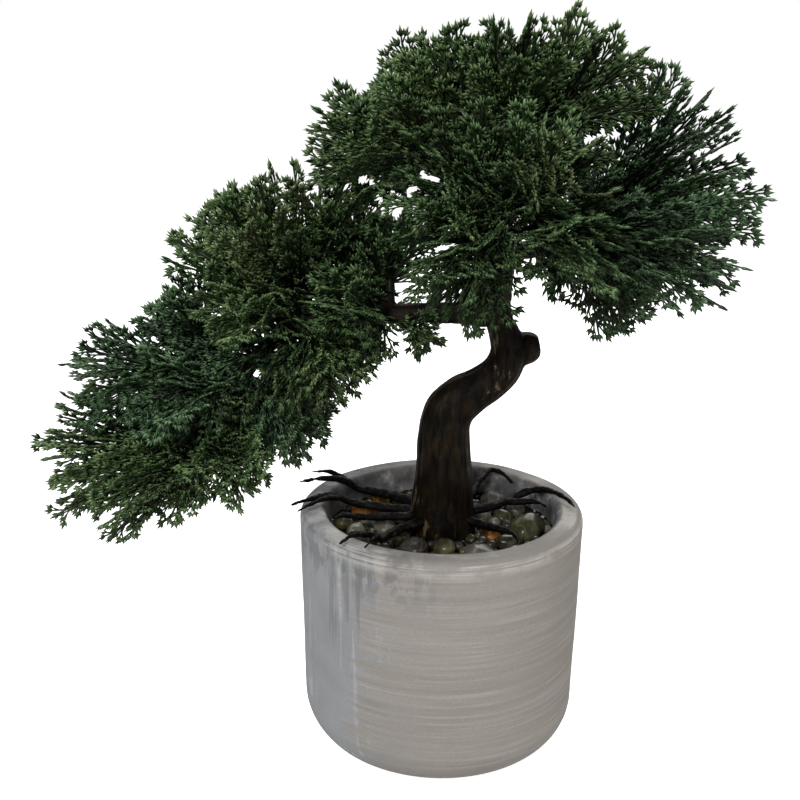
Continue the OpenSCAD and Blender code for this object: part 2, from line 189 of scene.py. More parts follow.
def lathe(profile, sides):
    """A closed surface of revolution about Z; the profile runs from axis to axis as (radius, height)."""
    verts = [(0.0, 0.0, profile[0][1])]
    faces = []
    rows = profile[1:-1]
    turn = [FULL_TURN * k / sides for k in range(sides)]
    for r, z in rows:
        verts += [(r * math.cos(a), r * math.sin(a), z) for a in turn]
    verts.append((0.0, 0.0, profile[-1][1]))
    last = len(verts) - 1
    for k in range(sides):
        n = (k + 1) % sides
        faces.append((0, 1 + n, 1 + k))
        for i in range(len(rows) - 1):
            a, b = 1 + i * sides, 1 + (i + 1) * sides
            faces.append((a + k, a + n, b + n, b + k))
        faces.append((last, last - sides + k, last - sides + n))
    return np.array(verts), faces


def arc(cx, cz, r, start, end, steps):
    """Points on an arc about (cx, cz), between two angles in degrees."""
    turns = [math.radians(start + (end - start) * i / steps) for i in range(steps + 1)]
    return [(cx + r * math.cos(a), cz + r * math.sin(a)) for a in turns]


def smooth_line(points, steps):
    """A smooth curve through the points, sampled evenly in its parameter."""
    pts = np.asarray(points, float)
    last = len(pts) - 1
    out = []
    for k in range(steps + 1):
        s = k / steps * last
        i = min(int(s), last - 1)
        t = s - i
        a, b, c, d = pts[max(i - 1, 0)], pts[i], pts[i + 1], pts[min(i + 2, last)]
        out.append(0.5 * (2 * b + (c - a) * t + (2 * a - 5 * b + 4 * c - d) * t * t
                          + (3 * b - a - 3 * c + d) * t ** 3))
    return np.array(out)


def noise_at(points, scale, seed):
    """Smooth noise from -1 to 1 at each point, with features about 1 / scale across."""
    shift = Vector((seed * 17.3, seed * 5.1, seed * 9.7))
    return np.array([noise.noise(Vector(p) * scale + shift) for p in points])


def vertex_array(mesh, what="co"):
    """The places of a mesh's vertices, or their normals if what is "normal"."""
    out = np.empty(len(mesh.vertices) * 3)
    mesh.vertices.foreach_get(what, out)
    return out.reshape(-1, 3)


def ball(subdivisions):
    """A unit icosphere's vertices and faces."""
    mesh = bpy.data.meshes.new("ball")
    work = bmesh.new()
    bmesh.ops.create_icosphere(work, subdivisions=subdivisions, radius=1.0)
    work.to_mesh(mesh)
    work.free()
    points = vertex_array(mesh)
    faces = [tuple(f.vertices) for f in mesh.polygons]
    bpy.data.meshes.remove(mesh)
    return points, faces


def remeshed(node, voxel, rounds, collar):
    """A voxel remesh of a CAD node's shape, and of a collar if it has one, with the facets smoothed away."""
    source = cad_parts[node].data
    shapes = [(vertex_array(source), [tuple(face.vertices) for face in source.polygons])]
    verts, faces = joined(shapes + [collar] if collar else shapes)
    mesh = bpy.data.meshes.new("work")
    mesh.from_pydata(verts.tolist(), [], faces)
    work = link("work", mesh)
    remesh = work.modifiers.new("remesh", "REMESH")
    remesh.mode = "VOXEL"
    remesh.voxel_size = voxel
    remesh.use_smooth_shade = True
    smooth = work.modifiers.new("smooth", "SMOOTH")
    smooth.factor = 0.5
    smooth.iterations = rounds
    shape = work.evaluated_get(bpy.context.evaluated_depsgraph_get())
    mesh = bpy.data.meshes.new_from_object(shape)
    bpy.data.objects.remove(work)
    return mesh


def bark_piece(name, node, body, voxel, rounds, relief, collar=None):
    """A piece in a CAD node's place: its shape, smoothed, with relief(points) added along the normals."""
    mesh = remeshed(node, voxel, rounds, collar)
    points = vertex_array(mesh)
    points = points + vertex_array(mesh, "normal") * relief(points)[:, None]
    mesh.vertices.foreach_set("co", points.ravel())
    mesh.materials.clear()
    mesh.update()
    mesh.shade_smooth()
    obj = link(name, mesh)
    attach(obj, body)
    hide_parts(node)
    return obj


# ---- materials ----


class Paint:
    """A node material being put together: add() makes a node, and sockets link by being passed in."""

    def __init__(self, name, roughness, specular=0.5):
        self.material = bpy.data.materials.new(name)
        self.material.use_nodes = True
        self.tree = self.material.node_tree
        self.surface = self.tree.nodes["Principled BSDF"]
        self.surface.inputs["Roughness"].default_value = roughness
        self.surface.inputs["Specular IOR Level"].default_value = specular
        self.place = self.add("ShaderNodeTexCoord").outputs["Object"]

    def add(self, kind, inputs=None, **settings):
        made = self.tree.nodes.new(kind)
        for key, value in settings.items():
            setattr(made, key, value)
        for key, value in (inputs or {}).items():
            self.put(made.inputs[key], value)
        return made

    def put(self, socket, value):
        if isinstance(value, bpy.types.NodeSocket):
            self.tree.links.new(value, socket)
        else:
            socket.default_value = value

    def stretch(self, x, y, z):
        """Places multiplied axis by axis, so that a texture on them is finer where the number is larger."""
        inputs = {0: self.place, 1: (x, y, z)}
        return self.add("ShaderNodeVectorMath", inputs, operation="MULTIPLY").outputs[0]

    def noise(self, scale, detail=4.0, rough=0.55, place=None):
        inputs = {"Vector": place or self.place, "Scale": scale, "Detail": detail, "Roughness": rough}
        return self.add("ShaderNodeTexNoise", inputs).outputs["Fac"]

    def streaks(self, level, upright, detail=3.0, rough=0.6):
        """Noise drawn out: its fineness in X and Y, and its fineness in Z."""
        return self.noise(1.0, detail, rough, self.stretch(level, level, upright))

    def ramp(self, fac, stops):
        made = self.add("ShaderNodeValToRGB", {"Fac": fac})
        ramp = made.color_ramp
        while len(ramp.elements) < len(stops):
            ramp.elements.new(0.5)
        for element, (at, color) in zip(ramp.elements, stops):
            element.position = at
            element.color = (*color, 1.0) if isinstance(color, tuple) else (color, color, color, 1.0)
        return made.outputs["Color"]

    def mix(self, fac, a, b, blend="MIX"):
        made = self.add("ShaderNodeMix", data_type="RGBA", blend_type=blend)
        # the factor and the two colours of a mix node in its colour mode
        for socket, value in ((made.inputs[0], fac), (made.inputs[6], a), (made.inputs[7], b)):
            self.put(socket, (*value, 1.0) if isinstance(value, tuple) else value)
        return made.outputs[2]

    def math(self, operation, a, b=0.0):
        return self.add("ShaderNodeMath", {0: a, 1: b}, operation=operation).outputs[0]

    def times(self, a, b):
        return self.math("MULTIPLY", a, b)

    def plus(self, a, b):
        return self.math("ADD", a, b)

    def shifted(self, value, wobble, amount):
        """The value moved by up to half the amount to either side, by a noise."""
        return self.plus(value, self.times(self.math("SUBTRACT", wobble, 0.5), amount))

    def axis(self, name, place=None):
        return self.add("ShaderNodeSeparateXYZ", {"Vector": place or self.place}).outputs[name]

    def span(self, value, low, high):
        """0 below low, 1 above high, smooth between."""
        inputs = {"Value": value, "From Min": low, "From Max": high}
        return self.add("ShaderNodeMapRange", inputs, interpolation_type="SMOOTHSTEP").outputs["Result"]

    def below(self, value, low, high):
        """1 below low, 0 above high, smooth between."""
        return self.math("SUBTRACT", 1.0, self.span(value, low, high))

    def color(self, value):
        self.put(self.surface.inputs["Base Color"], value)

    def rough(self, value):
        self.put(self.surface.inputs["Roughness"], value)

    def bump(self, height, strength, depth):
        made = self.add("ShaderNodeBump", {"Height": height, "Strength": strength, "Distance": depth})
        self.put(self.surface.inputs["Normal"], made.outputs["Normal"])


def between(a, b, amount):
    """The colour that lies the given part of the way from a to b."""
    return tuple(x + (y - x) * amount for x, y in zip(a, b))


def wear(obj, paint):
    """Gives a piece one material."""
    obj.data.materials.clear()
    obj.data.materials.append(paint.material)


def cement_paint():
    """Grey cement under a thin wash: brushed round the pot, cooler with a few runs at the front left."""
    p = Paint("cement_wash", 0.8)
    x, y, z = p.axis("X"), p.axis("Y"), p.axis("Z")
    cloud = p.noise(30.0)
    grain = p.noise(900.0, 3.0)
    # fine brush lines and broader bands, both level with the rim, that come and go
    lines = p.streaks(11.0, 820.0, rough=0.7)
    bands = p.streaks(16.0, 150.0)
    gate = p.span(p.noise(34.0, 2.0), 0.36, 0.62)
    warm = p.ramp(bands, [(0.34, (0.206, 0.188, 0.168)), (0.52, (0.216, 0.198, 0.178)),
                          (0.70, (0.230, 0.212, 0.191))])
    stroke = p.ramp(lines, [(0.36, 0.90), (0.50, 0.99), (0.62, 1.20)])
    warm = p.mix(p.plus(0.35, p.times(gate, 0.65)), warm, p.mix(1.0, warm, stroke, "MULTIPLY"))
    # the cooler side: cloudy, with thin whitish runs and a ragged edge
    cool = p.ramp(cloud, [(0.34, (0.190, 0.193, 0.202)), (0.66, (0.245, 0.247, 0.254))])
    runs = p.times(p.span(p.streaks(260.0, 11.0), 0.55, 0.63), p.span(p.noise(38.0, 3.0), 0.42, 0.58))
    cool = p.mix(p.times(runs, 0.6), cool, (0.36, 0.365, 0.37))
    edge = p.shifted(x, cloud, 50 * MM)
    ragged = p.shifted(edge, p.streaks(40.0, 420.0), 45 * MM)
    body = p.mix(p.below(ragged, -40 * MM, -24 * MM), warm, cool)
    # darker damp-looking patches that start on the rim, at the front left
    patch = p.span(p.streaks(150.0, 75.0, 5.0, 0.65), 0.47, 0.54)
    patch = p.times(patch, p.times(p.span(z, 78 * MM, 98 * MM), p.below(edge, -22 * MM, 4 * MM)))
    body = p.mix(p.times(patch, 0.55), body, (0.095, 0.095, 0.095))
    # and the drips that ran down from them
    drip = p.span(p.streaks(210.0, 13.0), 0.54, 0.62)
    near = p.times(p.span(x, -52 * MM, -44 * MM), p.below(x, -30 * MM, -20 * MM))
    drip = p.times(drip, p.times(near, p.span(z, 46 * MM, 80 * MM)))
    body = p.mix(p.times(drip, 0.5), body, (0.10, 0.10, 0.10))
    # wash left on the edge of the rim
    top = p.times(p.span(z, 97.5 * MM, 103 * MM), p.span(p.noise(70.0), 0.40, 0.58))
    top = p.times(top, p.span(lines, 0.38, 0.56))
    body = p.mix(p.times(top, 0.62), body, (0.46, 0.44, 0.40))
    # painted shade: the inner wall below the rim is painted much darker, with paler mottles
    radius = p.math("SQRT", p.plus(p.times(x, x), p.times(y, y)))
    inside = p.times(p.below(radius, 49.5 * MM, 52 * MM), p.span(z, 20 * MM, 30 * MM))
    painted_inner_shade = p.ramp(p.noise(62.0, 6.0, 0.65), [(0.38, (0.030, 0.028, 0.027)), (0.54, (0.105, 0.102, 0.104)),
                                              (0.66, (0.36, 0.35, 0.34))])
    body = p.mix(inside, body, painted_inner_shade)
    p.color(p.mix(p.span(grain, 0.30, 0.70), p.mix(0.10, body, (0.03, 0.03, 0.03)), body))
    p.rough(p.ramp(bands, [(0.3, 0.88), (0.7, 0.72)]))
    p.bump(p.plus(p.times(lines, 0.6), p.times(grain, 0.35)), 0.35, 0.4 * MM)
    return p


def pad_paint():
    """Black foam rubber with small closed cells."""
    p = Paint("foam_pad", 0.9)
    cells = p.add("ShaderNodeTexVoronoi", {"Vector": p.place, "Scale": 1400.0}).outputs["Distance"]
    p.color(p.ramp(cells, [(0.0, (0.008, 0.008, 0.008)), (0.8, (0.022, 0.021, 0.020))]))
    p.bump(cells, 0.4, 0.2 * MM)
    return p


def foam_paint():
    """Green florist's foam."""
    p = Paint("green_foam", 0.95)
    cells = p.noise(1300.0, 2.0)
    p.color(p.ramp(cells, [(0.35, (0.03, 0.06, 0.03)), (0.65, (0.07, 0.12, 0.06))]))
    p.bump(cells, 0.6, 0.3 * MM)
    return p


def steel_paint():
    """Plain steel with lines drawn along it."""
    p = Paint("drawn_rod", 0.35)
    lines = p.streaks(3000.0, 40.0, rough=0.5)
    p.surface.inputs["Metallic"].default_value = 1.0
    p.color(p.ramp(lines, [(0.3, (0.42, 0.42, 0.44)), (0.7, (0.62, 0.62, 0.64))]))
    p.bump(lines, 0.2, 0.05 * MM)
    return p


def resin_paint():
    """Dark glossy glue with a few glints of grit."""
    p = Paint("dark_glue", 0.22, 0.13)
    grit = p.add("ShaderNodeTexVoronoi", {"Vector": p.place, "Scale": 420.0}).outputs["Color"]
    speck = p.span(p.add("ShaderNodeSeparateColor", {"Color": grit}).outputs[0], 0.93, 0.97)
    base = p.ramp(p.noise(160.0, 5.0), [(0.35, (0.002, 0.002, 0.001)), (0.62, (0.007, 0.006, 0.004)),
                                        (0.8, (0.020, 0.015, 0.010))])
    p.color(p.mix(speck, base, (0.30, 0.29, 0.26)))
    p.rough(p.ramp(p.noise(300.0), [(0.35, 0.12), (0.65, 0.45)]))
    p.bump(p.noise(420.0), 0.7, 0.8 * MM)
    return p


def stone_paint(name, dark, mid, light, stain, roughness, stain_from):
    """A tumbled stone: soft clouds, thin veins, a mineral stain and fine pits."""
    p = Paint(name, roughness, 0.20)
    base = p.ramp(p.noise(75.0, 5.0, 0.6), [(0.32, dark), (0.52, mid), (0.72, light)])
    stained = p.span(p.noise(38.0, 3.0), stain_from, stain_from + 0.12)
    base = p.mix(p.times(stained, 0.7), base, stain)
    wave = p.add("ShaderNodeTexWave", {"Vector": p.place, "Scale": 60.0, "Distortion": 9.0, "Detail": 3.0})
    base = p.mix(p.times(p.span(wave.outputs["Fac"], 0.86, 0.98), 0.35), base, light)
    pits = p.noise(1100.0, 3.0)
    p.color(p.mix(p.span(pits, 0.55, 0.75), base, p.mix(0.35, base, dark)))
    p.rough(p.ramp(pits, [(0.3, roughness * 0.7), (0.7, min(1.0, roughness * 1.35))]))
    p.bump(pits, 0.25, 0.12 * MM)
    return p


def bark_paint(name, dark, brown, tan, tan_amount, along=(1.0, 1.0, 0.22), worn=None):
    """Moulded plastic bark: near-black grooves, brown ridges and drybrushed tan scuffs.

    along says how fine the grooves are in X, Y and Z; worn is a span of heights with more scuffs.
    """
    p = Paint(name, 0.5, 0.06)
    place = p.stretch(*along)
    grooves = p.noise(330.0, 6.0, 0.62, place)
    base = p.ramp(grooves, [(0.40, dark), (0.62, brown)])
    base = p.mix(p.span(p.noise(55.0, 4.0, 0.6), 0.36, 0.62), base, p.mix(0.65, base, dark))
    scuff = p.times(p.span(grooves, 0.52, 0.64), p.span(p.noise(70.0, 5.0, 0.65), 0.51, 0.60))
    if worn:
        low, high = worn
        z, fade = p.axis("Z"), 6 * MM
        band = p.times(p.span(z, low - fade, low + fade), p.below(z, high - fade, high + fade))
        tan_amount = p.plus(tan_amount, p.times(band, 0.8))
    p.color(p.mix(p.times(scuff, tan_amount), base, tan))
    p.rough(p.ramp(grooves, [(0.3, 0.62), (0.7, 0.38)]))
    fine = p.noise(1500.0, 3.0, 0.5, place)
    p.bump(p.plus(grooves, p.times(fine, 0.35)), 0.9, 0.9 * MM)
    return p


def foliage_paint(name, deep, green, pale):
    """Moulded scale leaves: near black painted shade below and inside, green above, paler painted highlights
    on upper faces.
    """
    p = Paint(name, 0.46, 0.12)
    tone = p.add("ShaderNodeAttribute", attribute_name="tone").outputs["Fac"]
    up = p.axis("Z", p.add("ShaderNodeTexCoord").outputs["Normal"])
    scales = p.noise(650.0, 2.0)
    # painted shade: low tones, deep in a spray and near its neck, are near black; the highest go part way to
    # the highlight colour
    base = p.ramp(tone, [(0.0, deep), (0.24, deep), (0.62, green), (1.0, between(green, pale, 0.30))])
    # faded, slightly brown patches here and there, and darker ones
    faded = p.span(p.noise(13.0, 3.0), 0.56, 0.70)
    base = p.mix(p.times(faded, 0.45), base, (0.045, 0.036, 0.014))
    shaded = p.span(p.noise(34.0, 3.0), 0.40, 0.66)
    base = p.mix(p.times(shaded, 0.40), base, p.mix(0.6, base, deep))
    # painted highlight: a paler, speckled colour on faces that turn upwards, stronger where the tone is
    # higher
    painted_highlight = p.times(p.span(up, 0.22, 0.92), p.span(scales, 0.38, 0.60))
    base = p.mix(p.times(painted_highlight, p.plus(0.10, p.times(tone, 0.66))), base, pale)
    # painted shade: faces that turn downwards go towards the near black colour
    p.color(p.mix(p.times(p.span(up, 0.05, -0.75), 0.55), base, deep))
    p.rough(p.ramp(scales, [(0.3, 0.52), (0.7, 0.36)]))
    p.bump(scales, 0.6, 0.2 * MM)
    return p


# ---- pot and filling ----


def build_pot():
    """The pot, turned from its section, with the small unevenness of a hand-cast one."""
    low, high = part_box("pot")
    rim_r, foot_z, rim_z = (high[0] - low[0]) / 2, low[2], high[2]
    wall, taper, corner, floor_t = 11 * MM, 1.6 * MM, 20 * MM, 12 * MM
    outer_round, inner_round, floor_round, flat_edge = 4 * MM, 3 * MM, 10 * MM, 4 * MM
    base_r, inner_r, floor_z = rim_r - taper, rim_r - wall, foot_z + floor_t
    side_low, side_high, steps = foot_z + corner, rim_z - outer_round, 26
    inner_low, inner_high, inner_steps = floor_z + floor_round, rim_z - inner_round, 12
    profile = [(0, foot_z), (base_r - corner - flat_edge, foot_z)]
    profile += arc(base_r - corner, side_low, corner, -90, 0, 22)
    profile += [(base_r + taper * i / steps, side_low + (side_high - side_low) * i / steps)
                for i in range(1, steps)]
    profile += arc(rim_r - outer_round, side_high, outer_round, 0, 90, 8)
    profile += arc(inner_r + inner_round, inner_high, inner_round, 90, 180, 8)
    profile += [(inner_r, inner_high - (inner_high - inner_low) * i / inner_steps)
                for i in range(1, inner_steps)]
    profile += arc(inner_r - floor_round, inner_low, floor_round, 0, -90, 8)
    profile += [(0, floor_z)]
    points, faces = lathe(profile, 192)
    out = unit(points * np.array([1.0, 1.0, 0.0]))
    # slow waves in the wall, fine ridges left by the brush, and a rim that isn't quite level
    wave = noise_at(points, 28.0, 1) * 0.28 * MM
    ridges = noise_at(points * np.array([0.035, 0.035, 1.0]), 900.0, 2) * 0.07 * MM
    points = points + out * (wave + ridges - 0.1 * MM)[:, None]
    points[:, 2] += noise_at(points, 45.0, 3) * 0.22 * MM * (points[:, 2] > rim_z - 6 * MM)
    pot = make_piece("cement_pot", points, faces, "stand", "pot")
    wear(pot, cement_paint())


def build_pad():
    """The soft disc under the pot, with rounded edges."""
    low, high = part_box("foot_pad")
    r, z0, z1 = (high[0] - low[0]) / 2, low[2], high[2]
    edge = 0.4 * MM
    profile = [(0, z0), (r - edge, z0)] + arc(r - edge, z0 + edge, edge, -80, 0, 4)
    profile += arc(r - edge, z1 - edge, edge, 0, 80, 4) + [(r - edge, z1), (0, z1)]
    verts, faces = lathe(profile, 96)
    pad = make_piece("soft_foot_pad", verts, faces, "stand", "foot_pad")
    wear(pad, pad_paint())


def build_bed():
    """The glue: an uneven dark skin between the stones, drawn up a little at the wall and the trunk."""
    low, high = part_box("glue_bed")
    outer, z0, z1 = (high[0] - low[0]) / 2, low[2], high[2]
    # the hole for the trunk's foot, whose middle lies a little to the right of the pot's
    hole, middle = 13 * MM, 0.6 * MM
    rings, sides = 46, 180
    turns = [FULL_TURN * k / sides for k in range(sides)]
    verts, faces = [], []
    for i in range(rings):
        f = i / (rings - 1)
        r = hole + (outer - hole) * f
        # how far the glue is drawn up there, in mm
        at_trunk, at_wall = 2.2 * math.exp(-(r - hole) / (2.5 * MM)), 1.2 * math.exp(-(outer - r) / (2 * MM))
        for a in turns:
            x, y = r * math.cos(a) + middle * (1 - f), r * math.sin(a)
            lumps = noise.noise(Vector((x, y, 0)) * 190) * 1.1 + noise.noise(Vector((x, y, 1)) * 480) * 0.5
            verts.append((x, y, z1 + (2.6 + lumps + at_trunk + at_wall) * MM))
    under = len(verts)
    for r, shift in ((outer, 0), (hole, middle)):
        verts += [(r * math.cos(a) + shift, r * math.sin(a), z0) for a in turns]
    for i in range(rings - 1):
        for k in range(sides):
            n = (k + 1) % sides
            faces.append((i * sides + k, (i + 1) * sides + k, (i + 1) * sides + n, i * sides + n))
    rim = (rings - 1) * sides
    for k in range(sides):
        n = (k + 1) % sides
        faces.append((rim + k, under + k, under + n, rim + n))
        faces.append((under + k, under + sides + k, under + sides + n, under + n))
        faces.append((under + sides + k, k, n, under + sides + n))
    bed = make_piece("glue_skin", np.array(verts), faces, "stand", "glue_bed")
    wear(bed, resin_paint())


# Each colour of stones: its dark, middle, light and stain colours, its roughness, and how rare the stain is
STONES = {
    "grey": ((0.008, 0.0075, 0.006), (0.021, 0.0195, 0.016), (0.062, 0.058, 0.048), (0.019, 0.019, 0.012),
             0.26, 0.55),
    "olive": ((0.011, 0.0095, 0.004), (0.032, 0.029, 0.014), (0.095, 0.088, 0.047), (0.080, 0.080, 0.020),
              0.24, 0.55),
    "pale": ((0.040, 0.036, 0.027), (0.090, 0.083, 0.064), (0.215, 0.205, 0.172), (0.070, 0.064, 0.034),
             0.32, 0.55),
    "amber": ((0.050, 0.016, 0.004), (0.19, 0.070, 0.010), (0.40, 0.20, 0.050), (0.026, 0.017, 0.008),
              0.16, 0.44),
}
# The shares of the four colours in the small gravel, and how many places are tried for a stone of it
GRAVEL_SHARES = [5, 4, 1.0, 0.12]
GRAVEL_TRIES = 900


def loose_parts(node):
    """The separate solids in a CAD node, as arrays of their vertices."""
    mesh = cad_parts[node].data
    parent = list(range(len(mesh.vertices)))

    def root(i):
        while parent[i] != i:
            parent[i] = parent[parent[i]]
            i = parent[i]
        return i

    points = vertex_array(mesh)
    # the same corner is stored once for each face that meets there
    first = {}
    for i, key in enumerate(map(tuple, np.round(points / (0.01 * MM)).astype(int))):
        parent[root(i)] = root(first.setdefault(key, i))
    for edge in mesh.edges:
        parent[root(edge.vertices[0])] = root(edge.vertices[1])
    groups = {}
    for i in range(len(points)):
        groups.setdefault(root(i), []).append(i)
    parts = [points[rows] for rows in groups.values() if len(rows) > 20]
    return sorted(parts, key=lambda part: tuple(np.round(part.mean(0), 5)))


def pebble_shape(source, rng, seed):
    """A water-worn stone: a unit ball squeezed in two directions, with soft flats."""
    squeeze = np.array([1.0, rng.uniform(0.74, 0.98), rng.uniform(0.66, 0.9)])
    flats = noise_at(source, 1.1, seed) * 0.20 + noise_at(source, 2.3, seed + 0.5) * 0.06
    return source * (1 + flats)[:, None] * squeeze


def turned(points, rng, tilt):
    """The points spun about Z and leant over by up to the tilt, at random."""
    spin = Matrix.Rotation(rng.uniform(0, FULL_TURN), 3, "Z")
    lean_x = Matrix.Rotation(rng.uniform(-tilt, tilt), 3, "X")
    lean_y = Matrix.Rotation(rng.uniform(-tilt, tilt), 3, "Y")
    return points @ np.array(spin @ (lean_x @ lean_y)).T


def spread_gravel(taken, wall):
    """Small stones in the gaps that the large ones leave: for each colour, their places and radii."""
    rng = random.Random(11)
    gravel = {color: [] for color in STONES}
    for _ in range(GRAVEL_TRIES):
        r, a = rng.uniform(15, 46.5) * MM, rng.uniform(0, FULL_TURN)
        size = rng.uniform(1.5, 3.1) * MM
        at = np.array([r * math.cos(a), r * math.sin(a)])
        if r + size > wall:
            continue
        if all(np.linalg.norm(at - other_at) > 0.86 * (size + other) for other_at, other in taken):
            taken.append((at, size))
            color = rng.choices(list(STONES), GRAVEL_SHARES)[0]
            gravel[color].append((at, size))
    return gravel


def build_pebbles():
    """The stones, colour by colour: a worn one in the place of each CAD pebble, and gravel between them."""
    source, faces = ball(4)
    small, small_faces = ball(3)
    wall, _, bed_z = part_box("glue_bed")[1]
    parts = {color: loose_parts("pebbles_" + color) for color in STONES}
    taken = [(part.mean(0)[:2], np.ptp(part[:, :2], axis=0).max() / 2)
             for color in STONES for part in parts[color]]
    gravel = spread_gravel(taken, wall)
    for number, (color, look) in enumerate(STONES.items()):
        rng = random.Random(100 + number)
        shapes = []
        for k, part in enumerate(parts[color]):
            low, high = part.min(0), part.max(0)
            mid, half = (low + high) / 2, (high - low) / 2
            shape = turned(pebble_shape(source, rng, number * 40 + k), rng, 0.45)
            # a little larger than the CAD's pebble, and a little higher
            shape = shape / np.abs(shape).max(0) * (half + np.array([0.35, 0.35, 0.5]) * MM)
            shapes.append((shape + mid + np.array([0, 0, 0.25 * MM]), faces))
        for k, (at, size) in enumerate(gravel[color]):
            shape = turned(pebble_shape(small, rng, 500 + number * 80 + k), rng, 0.6) * size
            # partly sunk in the glue's skin
            shapes.append((shape + np.array([*at, bed_z + 2.4 * MM + 0.5 * size]), small_faces))
        stones = make_piece("stones_" + color, *joined(shapes), "stand", "pebbles_" + color)
        wear(stones, stone_paint("stone_" + color, *look))


# ---- trunk, limbs and roots ----


def build_trunk():
    """The trunk's moulding, with grooves, knuckles and root flares laid along its centre line."""
    line = smooth_line([(x * MM, 0, z * MM) for x, z in TRUNK_LINE], 240)
    reach = np.concatenate([[0], np.cumsum(np.linalg.norm(np.diff(line, axis=0), axis=1))])
    forward = unit(np.gradient(line, axis=0))

    def relief(points):
        """Long wandering grooves, knuckles and fine bark, in the trunk's own length and turn."""
        nearest = np.array([np.argmin(((line - p) ** 2).sum(1)) for p in points])
        off = points - line[nearest]
        side = np.array([0.0, 1.0, 0.0])
        other = np.cross(forward[nearest], side)
        turn = np.arctan2(off @ side, (off * other).sum(1))
        s = reach[nearest]
        round_ = np.stack([np.cos(turn), np.sin(turn), s / (30 * MM)], axis=1)
        ridged = 0.5 - np.abs(noise_at(round_ * np.array([2.1, 2.1, 1.0]), 1.0, 4))
        fine = noise_at(round_ * np.array([6.5, 6.5, 3.2]), 1.0, 5)
        knuckles = noise_at(points, 85.0, 6)
        flare = np.exp(-np.maximum(s - 16 * MM, 0) / (9 * MM)) * (0.5 + 0.5 * np.cos(5 * turn + 0.6))
        # the lower trunk is a little stouter than the CAD's, up to the first bend
        stout = np.clip((BEND_END - points[:, 2]) / (BEND_END - BEND_START), 0, 1)
        return (0.60 * ridged + 0.30 * fine + 0.55 * knuckles + 1.1 * flare + 0.75 * stout - 0.25) * MM

    trunk = bark_piece("bent_trunk", "trunk", "stand", 0.75 * MM, 6, relief)
    paint = bark_paint("trunk_bark", (0.0014, 0.0010, 0.0006), (0.0145, 0.0090, 0.0038),
                       (0.175, 0.130, 0.072), 0.35, worn=(146 * MM, 176 * MM))
    wear(trunk, paint)


def leader_collar():
    """A swelling at the leader's foot that laps over the trunk; being round, it hides the turning joint."""
    axis_x, seam = 21, 196
    shape = [(-2.6, 4.9), (-2.0, 5.55), (0.0, 5.75), (2.2, 5.55), (4.5, 5.1)]
    return tube([(axis_x * MM, 0, (seam + up) * MM) for up, _ in shape], [r * MM for _, r in shape], 32)


def bough_collar():
    """A flare at the left bough's foot, round its swivel line, that runs into the side of the trunk."""
    seam, axis_z = 15.6, 188
    shape = [(2.8, 4.4), (1.6, 5.0), (0.0, 5.15), (-2.6, 4.9), (-6.0, 4.4)]
    return tube([((seam + out) * MM, 0, axis_z * MM) for out, _ in shape], [r * MM for _, r in shape], 32)


def bumps(amount, seed):
    """A relief of small bark bumps, the amount in mm."""
    def relief(points):
        coarse, fine = noise_at(points, 230.0, seed), noise_at(points, 620.0, seed + 1)
        return (coarse + 0.6 * fine - 0.25) * amount * MM
    return relief


def build_limbs():
    """The leader, the five boughs and the roots, each in its CAD node's place."""
    bark = bark_paint("bough_bark", (0.0022, 0.0017, 0.0011), (0.015, 0.0105, 0.0062), (0.09, 0.068, 0.040),
                      0.35, along=(0.3, 1.0, 1.0))
    olive = bark_paint("leader_bark", (0.006, 0.005, 0.003), (0.034, 0.026, 0.014), (0.13, 0.105, 0.062), 0.4)
    black = bark_paint("root_bark", (0.0012, 0.0010, 0.0009), (0.0060, 0.0048, 0.0040), (0.09, 0.078, 0.062),
                       0.30, along=(0.6, 0.6, 1.0))
    leader = bark_piece("upper_leader", "leader", "crown", 0.55 * MM, 4, bumps(0.28, 7), leader_collar())
    wear(leader, olive)
    for number, side in enumerate(["left", "right", "front", "back", "upper"]):
        node = side + "_bough"
        collar = bough_collar() if side == "left" else None
        bough = bark_piece(node + "_stem", node, node, 0.5 * MM, 4, bumps(0.25, 20 + number), collar)
        wear(bough, bark)
    for number, letter in enumerate("abcdefg"):
        root = bark_piece("dark_root_" + letter, "root_" + letter, "stand", 0.34 * MM, 2,
                          bumps(0.42, 40 + number))
        wear(root, black)


# ---- foliage ----

# One tip: buds in a flat arrowhead, each (x, y, turn in degrees, length, half width, half thickness), in mm
BUDS = [(0, 0, 0, 4.7, 0.74, 0.50), (0.5, 0.1, 28, 3.2, 0.56, 0.42), (0.5, -0.1, -28, 3.2, 0.56, 0.42)]
# A stem: its number of straight pieces, and in mm its radius at the neck and how much thinner it ends
STEM_ROWS = 7
STEM_RADIUS = 0.66
STEM_TAPER = 0.22
# A side shoot's radius and the usual gap between two of them along a stem, in mm
SHOOT_RADIUS = 0.41
SHOOT_GAP = 3.5
# The room at a stem's end for its tip, and how far out from the fork point a spray's neck is, in mm
TIP_ROOM = 6.0
NECK = 13.0


def tip_prototype():
    """The buds as long four-sided double points."""
    verts, faces = [], []
    for x, y, turn, length, wide, thick in BUDS:
        base = len(verts)
        c, s = math.cos(math.radians(turn)), math.sin(math.radians(turn))
        corners = [(0, 0, 0), (0.52, wide, 0), (0.46, 0, thick), (0.52, -wide, 0), (0.46, 0, -thick),
                   (1, 0, 0)]
        for part, side, up in corners:
            verts.append((x + part * length * c - side * s, y + part * length * s + side * c, up))
        for k in range(4):
            a, b = base + 1 + k, base + 1 + (k + 1) % 4
            faces += [(base, b, a), (base + 5, a, b)]
    return np.array(verts) * MM, faces


TIP_VERTS, TIP_FACES = tip_prototype()


